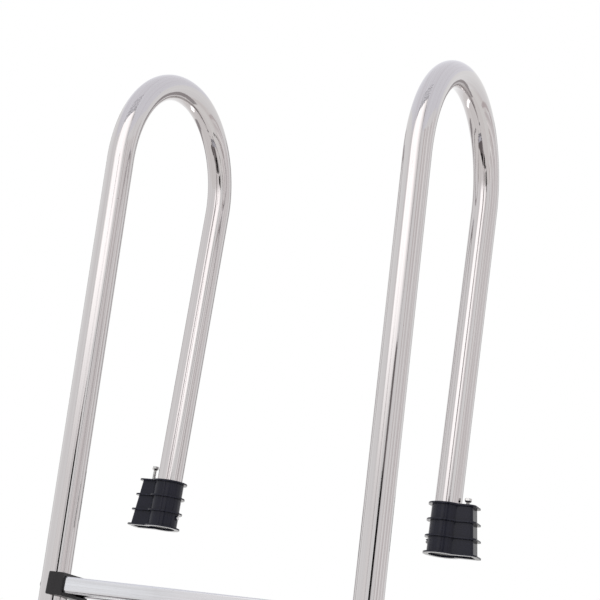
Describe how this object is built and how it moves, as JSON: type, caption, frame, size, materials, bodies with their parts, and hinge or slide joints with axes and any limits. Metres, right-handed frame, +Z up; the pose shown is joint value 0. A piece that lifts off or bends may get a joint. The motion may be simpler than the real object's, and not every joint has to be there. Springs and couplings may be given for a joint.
{
  "type": "pool ladder",
  "caption": "Crook-topped pool ladder with tubular handrails, folded treads in plastic brackets and wedge-clamp deck anchors.",
  "frame": {"origin": "on the deck plane, midway between the tube bores of the two deck anchors", "axes": "+Z up along the deck legs, +X to the right seen from the pool, +Y from the pool towards the deck"},
  "size_m": [0.6194, 0.394, 1.58],
  "materials": {
    "polished_steel": "mirror polished stainless tube",
    "tread_steel": "bright stamped stainless sheet",
    "bracket_plastic": "black moulded plastic, fine satin",
    "fastener_steel": "bright stainless hardware",
    "bumper_rubber": "black rubber",
    "plug_plastic": "black plastic",
    "anchor_plastic": "black moulded plastic, semi-gloss",
    "wedge_plastic": "dark moulded plastic"
  },
  "bodies": {
    "deck_sockets": {"anchor_left": "anchor_plastic", "anchor_right": "anchor_plastic", "bonding_screw_left": "fastener_steel", "bonding_screw_right": "fastener_steel"},
    "ladder": {"rail_left": "polished_steel", "rail_right": "polished_steel", "tread_1": "tread_steel", "tread_2": "tread_steel", "tread_3": "tread_steel", "bracket_left_1": "bracket_plastic", "bracket_left_2": "bracket_plastic", "bracket_left_3": "bracket_plastic", "bracket_right_1": "bracket_plastic", "bracket_right_2": "bracket_plastic", "bracket_right_3": "bracket_plastic", "step_bolts": "fastener_steel", "step_washers": "fastener_steel", "step_nuts": "fastener_steel", "bumper_left": "bumper_rubber", "bumper_right": "bumper_rubber", "tube_plug_left": "plug_plastic", "tube_plug_right": "plug_plastic"},
    "wedge_left": {"wedge_left": "wedge_plastic", "wedge_nut_left": "fastener_steel"},
    "washer_left": {"clamp_washer_left": "fastener_steel"},
    "bolt_left": {"clamp_bolt_left": "fastener_steel"},
    "wedge_right": {"wedge_right": "wedge_plastic", "wedge_nut_right": "fastener_steel"},
    "washer_right": {"clamp_washer_right": "fastener_steel"},
    "bolt_right": {"clamp_bolt_right": "fastener_steel"}
  },
  "joints": [
    {"name": "ladder_lift", "type": "slide", "parent": "deck_sockets", "child": "ladder", "axis": [0, 0, 1], "range_m": [0, 0.1]},
    {"name": "wedge_left_slide", "type": "slide", "parent": "deck_sockets", "child": "wedge_left", "axis": [0.124, 0, 0.9923], "range_m": [0, 0.008]},
    {"name": "washer_left_travel", "type": "slide", "parent": "wedge_left", "child": "washer_left", "axis": [0, 0, 1], "range_m": [-0.0185, 0.005]},
    {"name": "bolt_left_turn", "type": "hinge", "parent": "washer_left", "child": "bolt_left", "pos_m": [-0.282, 0, 0.0212], "axis": [0, 0, 1], "range_deg": [-6663.6, 1803.6]},
    {"name": "wedge_right_slide", "type": "slide", "parent": "deck_sockets", "child": "wedge_right", "axis": [-0.124, 0, 0.9923], "range_m": [0, 0.008]},
    {"name": "washer_right_travel", "type": "slide", "parent": "wedge_right", "child": "washer_right", "axis": [0, 0, 1], "range_m": [-0.0055, 0.018]},
    {"name": "bolt_right_turn", "type": "hinge", "parent": "washer_right", "child": "bolt_right", "pos_m": [0.282, 0, 0.0082], "axis": [0, 0, 1], "range_deg": [-1983.6, 6483.6]}
  ],
  "couplings": [
    {"joint": "bolt_left_turn", "follows": "washer_left_travel", "rad_per_m": 6283.2},
    {"joint": "bolt_right_turn", "follows": "washer_right_travel", "rad_per_m": 6283.2}
  ]
}
